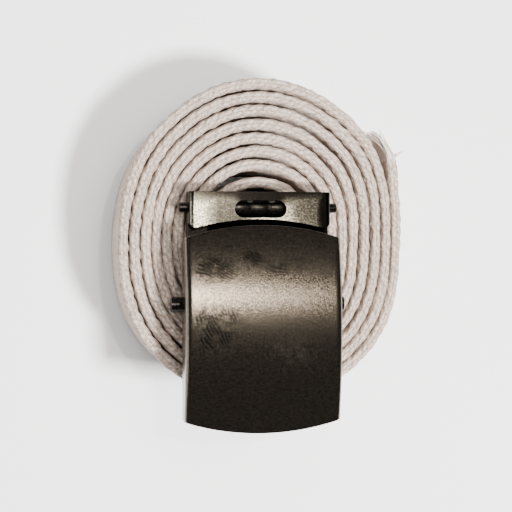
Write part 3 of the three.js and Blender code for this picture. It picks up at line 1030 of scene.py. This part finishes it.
# Pale fibre flecks and painted highlight on the stitches' crowns share this tint.
FLECK_AND_HIGHLIGHT_TINT = (0.72, 0.63, 0.55)
FLECK_AND_HIGHLIGHT_SHARE = 0.6
CREVICE_LIMITS = (0.4, 0.1)
CREVICE_SHARE = 0.4
# Painted shade, with dust, in the crevices and pits.
SHADE_AND_DUST_TINT = (0.18, 0.132, 0.1)
PIT_LIMITS = (0.5, 0.15)
PIT_SHARE = 0.5
FLOAT_HEIGHT = 0.5
FIBRE_HEIGHT = 0.7
STITCH_HEIGHT = 0.6
FUZZ_HEIGHT = 1.2


def share_past(tree, value, limits, share):
    """How far a value lies from the first limit to the second, up to a share."""
    return add_math(tree, "MULTIPLY", add_ramp(tree, value, *limits), share)


def cotton_tint(tree, where, fuzz):
    """Two whites in wide blotches, with paler and darker fibres on them."""
    blotch = add_ramp(tree, add_noise(tree, where, BLOTCH_SCALE, detail=3.0), *BLOTCH_LIMITS)
    tint = add_mix(tree, blotch, *COTTON_TINTS)
    for colour, limits, share in FIBRE_TINTS:
        tint = add_mix(tree, share_past(tree, fuzz, limits, share), tint, colour)
    return tint


def woven_tint(tree, tint, u, v, floats, stitches):
    """The tint, paler on flecks, with painted highlight on the stitches' crowns, and darker in pits and
    crevices with painted shade and dust.
    """
    flecks = add_ramp(tree, grains_along(tree, u, v, *FLECK_SCALES, detail=1.0), *FLECK_LIMITS)
    crowns = share_past(tree, stitches, CROWN_LIMITS, CROWN_SHARE)
    # Pale flecks of fibre, and painted highlight on the stitches' crowns.
    pale = add_math(tree, "MULTIPLY", add_math(tree, "MAXIMUM", flecks, crowns), FLECK_AND_HIGHLIGHT_SHARE)
    tint = add_mix(tree, pale, tint, FLECK_AND_HIGHLIGHT_TINT)
    # Painted shade, with dust, in crevices and pits.
    crevices = share_past(tree, floats, CREVICE_LIMITS, CREVICE_SHARE)
    pits = share_past(tree, stitches, PIT_LIMITS, PIT_SHARE)
    return add_mix(tree, add_math(tree, "MAXIMUM", crevices, pits), tint, SHADE_AND_DUST_TINT)


def woven_height(tree, fuzz, u, v, floats, stitches):
    """The floats, the fibres, the stitches and the fuzz, each times its own height, added up."""
    fibres = grains_along(tree, u, v, *FIBRE_SCALES, detail=2.0)
    height = add_math(tree, "MULTIPLY", floats, FLOAT_HEIGHT)
    for layer, amount in ((fibres, FIBRE_HEIGHT), (stitches, STITCH_HEIGHT), (fuzz, FUZZ_HEIGHT)):
        height = add_math(tree, "ADD", height, add_math(tree, "MULTIPLY", layer, amount))
    return height


print("layers:", [layer.__name__ for layer in (cotton_tint, woven_tint, woven_height)])

# %% [markdown]
# Two materials come of it. Both are quite matte, with the faint sheen that short fibres give at a slant.
# The webbing has the weave; the loose yarns are the same cotton without one, and a little paler.

# %% Cotton canvas
FUZZ_SCALE = 1500
FUZZ_DETAIL = 4.0
FUZZ_HARSHNESS = 0.75
YARN_TINT = (0.78, 0.68, 0.6)
YARN_TINT_SHARE = 0.7
COTTON_BUMP = 0.7
WEAVE_DEPTH = 0.42 * MM
YARN_DEPTH = 0.05 * MM
COTTON_CONSTANTS = {
    "Roughness": 0.92,
    "Sheen Weight": 0.1,
    "Sheen Roughness": 0.5,
    "Specular IOR Level": 0.2,
}


def cotton(name, is_woven):
    """Matte cotton. Woven cloth gets the weave; loose yarns get only their fibres."""
    material, tree, shader = new_material(name)
    for socket, value in COTTON_CONSTANTS.items():
        shader.inputs[socket].default_value = value
    coordinates = tree.nodes.new("ShaderNodeTexCoord")
    where = coordinates.outputs["Object"]
    fuzz = add_noise(tree, where, FUZZ_SCALE, FUZZ_DETAIL, FUZZ_HARSHNESS)
    tint = cotton_tint(tree, where, fuzz)
    if is_woven:
        layers = strip_map(tree, coordinates, where)
        tint = woven_tint(tree, tint, *layers)
        height, depth = woven_height(tree, fuzz, *layers), WEAVE_DEPTH
    else:
        tint = add_mix(tree, YARN_TINT_SHARE, tint, YARN_TINT)
        height, depth = fuzz, YARN_DEPTH
    feed(tree, tint, shader.inputs["Base Color"])
    feed(tree, add_bump(tree, height, COTTON_BUMP, depth), shader.inputs["Normal"])
    return material


webbing.data.materials.append(cotton("cotton_weave", True))
fray.data.materials.append(cotton("cotton_yarn", False))
print("cotton:", webbing.data.materials[0].name, "and", fray.data.materials[0].name)
